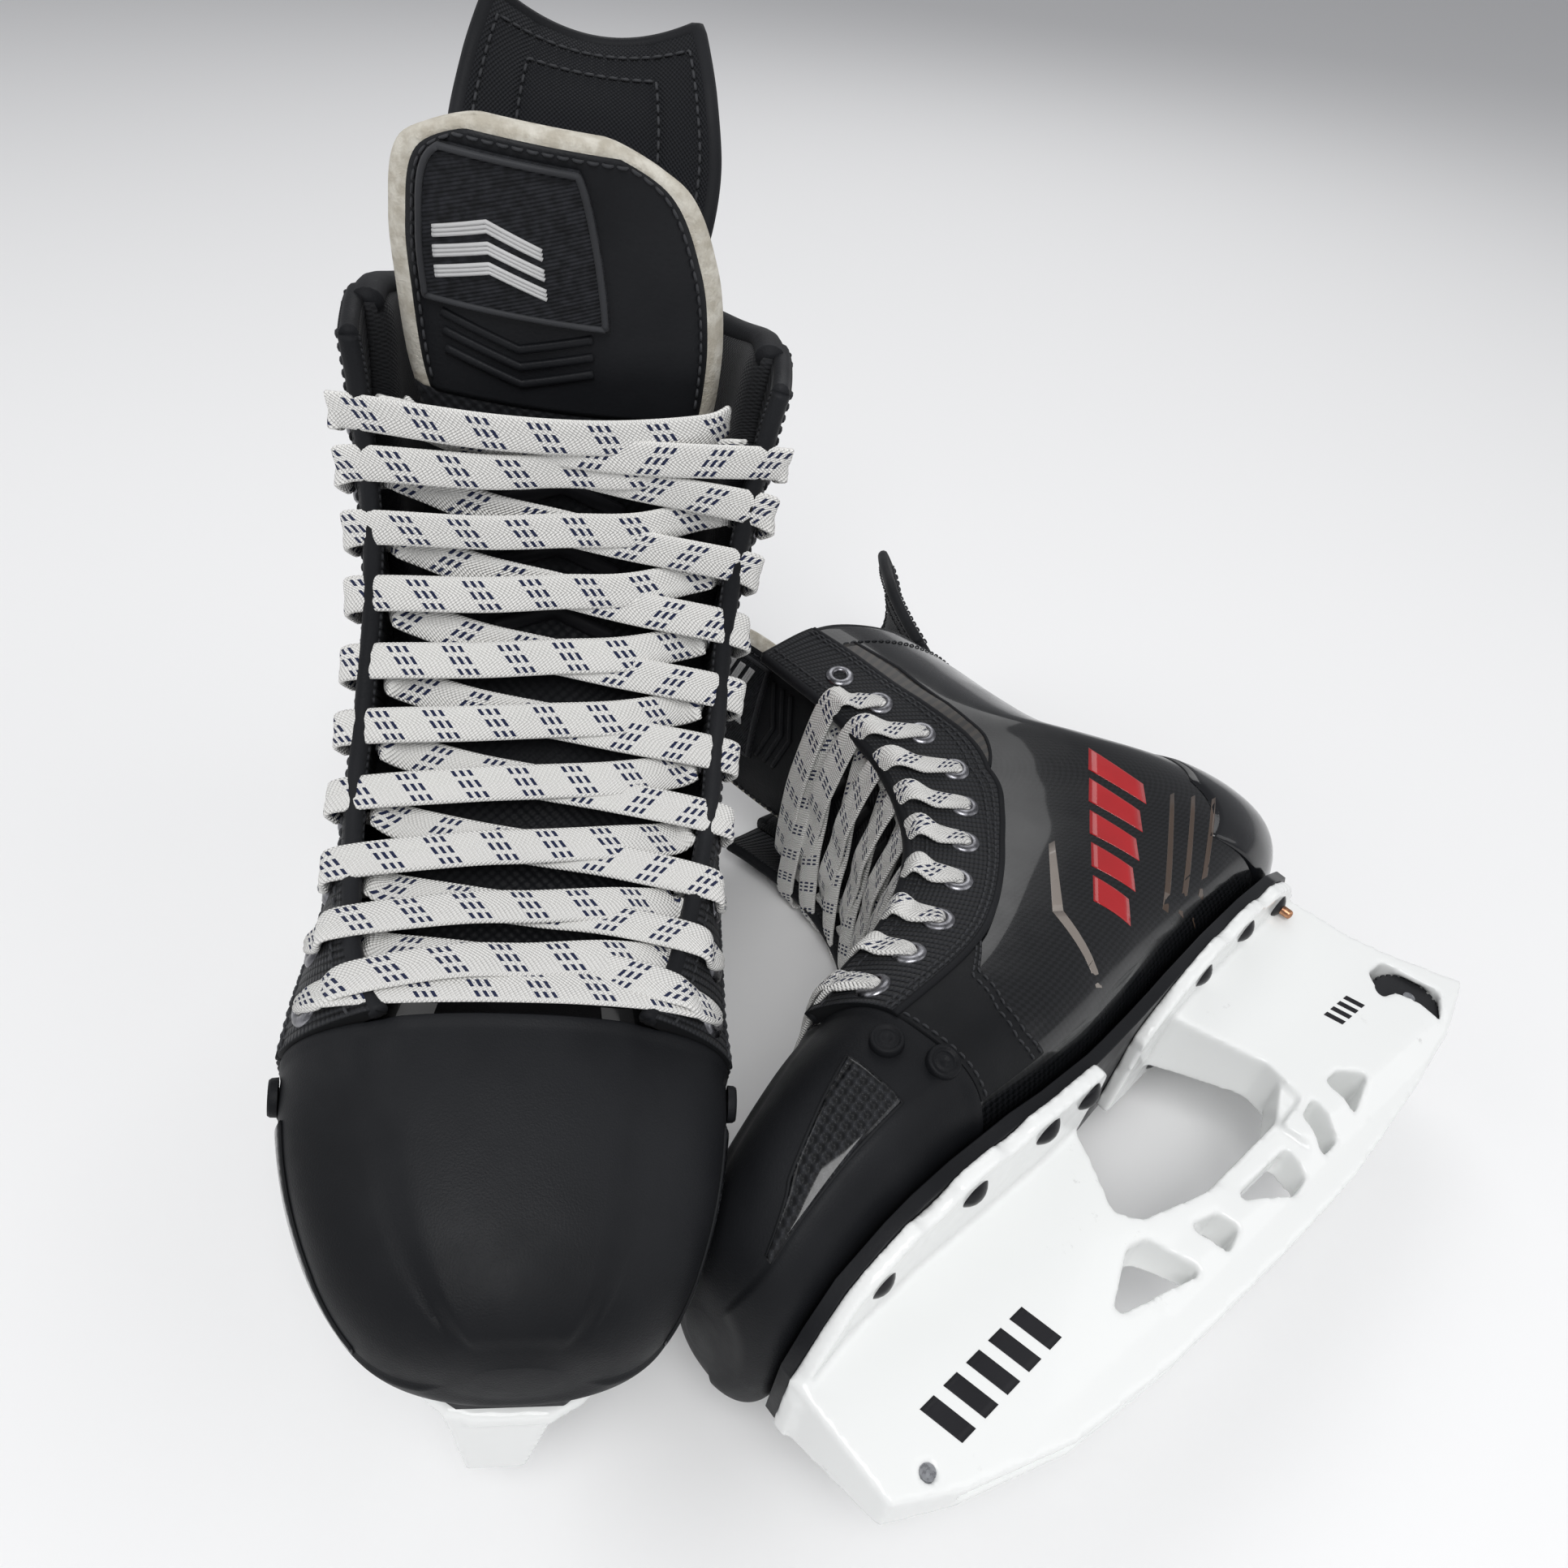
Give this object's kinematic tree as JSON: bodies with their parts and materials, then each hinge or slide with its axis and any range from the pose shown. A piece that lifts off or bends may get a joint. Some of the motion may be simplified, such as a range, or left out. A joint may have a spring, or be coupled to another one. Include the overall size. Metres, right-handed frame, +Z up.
{
  "type": "ice hockey skates",
  "caption": "Laced ice hockey skate boots on white blade holders without runners: one stands, the other lies on its inner side.",
  "frame": {"origin": "centre of the bounding box at the height of the floor", "axes": "+X towards the toe of the standing skate, +Y towards the lying skate, +Z up"},
  "size_m": [0.3748, 0.3744, 0.2939],
  "materials": {
    "composite": "glossy black composite",
    "outsole": "satin",
    "toe_cap": "fine matte grain",
    "cap_panel": "woven gloss",
    "button": "satin",
    "overlay": "matte synthetic leather",
    "facing": "ribbed mesh",
    "eyelet": "dark nickel",
    "ankle_panel": "bronze film",
    "heel_counter": "gloss",
    "tendon_guard": "ballistic cloth over foam",
    "liner": "brushed lining",
    "footbed": "foam",
    "tongue": "padded cloth",
    "felt": "pressed felt",
    "tongue_cover": "matte",
    "badge": "embroidered",
    "lace_guard": "matte",
    "holder": "gloss white",
    "rivet": "black",
    "copper": "bare copper",
    "dial": "ribbed",
    "steel": "plain",
    "lace": "flat woven, white with navy dashes"
  },
  "bodies": {
    "boots": {"right_boot_shell": "composite", "right_outsole": "outsole", "right_toe_cap": "toe_cap", "right_cap_panels": "cap_panel", "right_cap_buttons": "button", "right_vamp_overlay": "overlay", "right_lateral_facing": "facing", "right_medial_facing": "facing", "right_eyelets": "eyelet", "right_ankle_panels": "ankle_panel", "right_heel_counter": "heel_counter", "right_ankle_liner": "liner", "right_footbed": "footbed", "right_tongue_base": "tongue", "right_lace_guard": "lace_guard", "right_holder": "holder", "right_front_rivets": "rivet", "right_rear_rivets": "rivet", "right_heel_rivet": "copper", "right_lock_axle": "steel", "right_front_stop": "steel", "right_lace": "lace", "left_boot_shell": "composite", "left_outsole": "outsole", "left_toe_cap": "toe_cap", "left_cap_panels": "cap_panel", "left_cap_buttons": "button", "left_vamp_overlay": "overlay", "left_lateral_facing": "facing", "left_medial_facing": "facing", "left_eyelets": "eyelet", "left_ankle_panels": "ankle_panel", "left_heel_counter": "heel_counter", "left_ankle_liner": "liner", "left_footbed": "footbed", "left_tongue_base": "tongue", "left_lace_guard": "lace_guard", "left_holder": "holder", "left_front_rivets": "rivet", "left_rear_rivets": "rivet", "left_heel_rivet": "copper", "left_lock_axle": "steel", "left_front_stop": "steel", "left_lace": "lace"},
    "right_guard": {"right_tendon_guard": "tendon_guard"},
    "right_tongue": {"right_tongue_felt": "felt", "right_tongue_cover": "tongue_cover", "right_tongue_badge": "badge"},
    "right_dial": {"right_lock_dial": "dial"},
    "right_hook": {"right_lock_hook": "steel"},
    "left_guard": {"left_tendon_guard": "tendon_guard"},
    "left_tongue": {"left_tongue_felt": "felt", "left_tongue_cover": "tongue_cover", "left_tongue_badge": "badge"},
    "left_dial": {"left_lock_dial": "dial"},
    "left_hook": {"left_lock_hook": "steel"}
  },
  "joints": [
    {"name": "right_dial_turn", "type": "hinge", "parent": "boots", "child": "right_dial", "pos_m": [-0.09179, -0.1353, 0.02096], "axis": [0.0073, 0.9945, -0.1043], "range_deg": [0, 90]},
    {"name": "right_hook_slide", "type": "slide", "parent": "boots", "child": "right_hook", "axis": [0.0694, -0.1045, -0.9921], "range_m": [0, 0.003]},
    {"name": "right_tongue_flex", "type": "hinge", "parent": "boots", "child": "right_tongue", "pos_m": [0.00152, -0.11415, 0.22917], "axis": [0.0073, 0.9945, -0.1043], "range_deg": [0, 18], "stiffness_Nm_per_rad": 1.5},
    {"name": "right_guard_flex", "type": "hinge", "parent": "boots", "child": "right_guard", "pos_m": [-0.08618, -0.11293, 0.2347], "axis": [-0.0073, -0.9945, 0.1043], "range_deg": [0, 20], "stiffness_Nm_per_rad": 2},
    {"name": "left_dial_turn", "type": "hinge", "parent": "boots", "child": "left_dial", "pos_m": [0.04374, 0.16232, 0.03796], "axis": [0.0132, 0.0791, 0.9968], "range_deg": [0, 90]},
    {"name": "left_hook_slide", "type": "slide", "parent": "boots", "child": "left_hook", "axis": [0.8401, 0.5397, -0.054], "range_m": [0, 0.003]},
    {"name": "left_tongue_flex", "type": "hinge", "parent": "boots", "child": "left_tongue", "pos_m": [-0.06788, -0.03705, 0.05526], "axis": [0.0132, 0.0791, 0.9968], "range_deg": [0, 18], "stiffness_Nm_per_rad": 1.5},
    {"name": "left_guard_flex", "type": "hinge", "parent": "boots", "child": "left_guard", "pos_m": [-0.12493, 0.02964, 0.05073], "axis": [-0.0132, -0.0791, -0.9968], "range_deg": [0, 20], "stiffness_Nm_per_rad": 2}
  ],
  "couplings": [
    {"joint": "right_hook_slide", "follows": "right_dial_turn", "m_per_rad": 0.001908},
    {"joint": "left_hook_slide", "follows": "left_dial_turn", "m_per_rad": 0.001908}
  ]
}
